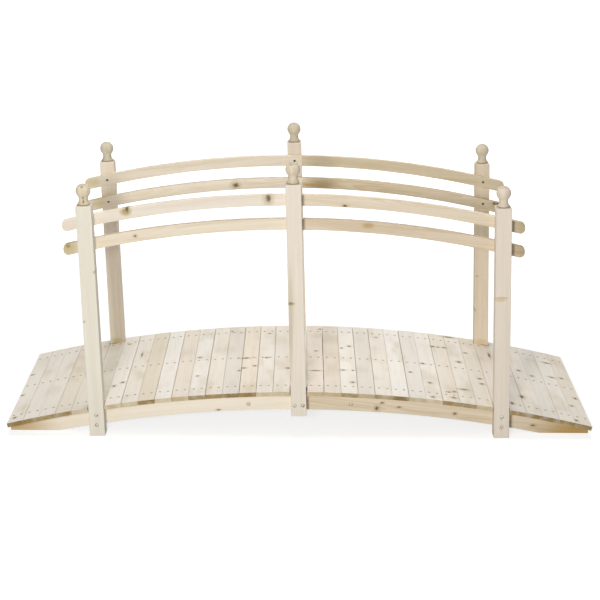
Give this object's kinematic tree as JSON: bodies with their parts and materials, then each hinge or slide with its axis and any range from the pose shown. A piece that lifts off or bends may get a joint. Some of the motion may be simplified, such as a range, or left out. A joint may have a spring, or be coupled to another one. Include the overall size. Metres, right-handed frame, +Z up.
{
  "type": "arched wooden garden bridge",
  "caption": "Low arched timber footbridge for a garden, with a boarded deck on arched bearers, straight posts with turned ball caps and twin curved rails on each side.",
  "frame": {"origin": "on the ground under the crown of the arch, midway between the two railings", "axes": "+X along the bridge from the left end to the right end as pictured, +Y across it away from the camera, +Z up"},
  "size_m": [2.2986, 0.853, 1.0965],
  "materials": {
    "posts": "planed bare softwood",
    "turned_caps": "turned bare softwood",
    "rails": "planed bare softwood",
    "deck_boards": "planed bare softwood, board to board variation",
    "arched_bearers": "planed bare softwood",
    "galvanised_steel": "zinc plated"
  },
  "bodies": {
    "root": {"deck_board_06": "deck_boards", "deck_board_18": "deck_boards", "deck_board_30": "deck_boards", "deck_boards_01_05": "deck_boards", "deck_boards_07_17": "deck_boards", "deck_boards_19_29": "deck_boards", "deck_boards_31_35": "deck_boards", "finial_far_left": "turned_caps", "finial_far_middle": "turned_caps", "finial_far_right": "turned_caps", "finial_near_left": "turned_caps", "finial_near_middle": "turned_caps", "finial_near_right": "turned_caps", "post_bolts_far": "galvanised_steel", "post_bolts_near": "galvanised_steel", "post_far_left": "posts", "post_far_middle": "posts", "post_far_right": "posts", "post_near_left": "posts", "post_near_middle": "posts", "post_near_right": "posts", "rail_lower_far_left": "rails", "rail_lower_far_right": "rails", "rail_lower_near_left": "rails", "rail_lower_near_right": "rails", "rail_upper_far_left": "rails", "rail_upper_far_right": "rails", "rail_upper_near_left": "rails", "rail_upper_near_right": "rails", "splice_bolts": "galvanised_steel", "splice_far": "arched_bearers", "splice_middle": "arched_bearers", "splice_near": "arched_bearers", "stringer_far_left": "arched_bearers", "stringer_far_right": "arched_bearers", "stringer_middle_left": "arched_bearers", "stringer_middle_right": "arched_bearers", "stringer_near_left": "arched_bearers", "stringer_near_right": "arched_bearers"}
  },
  "joints": []
}
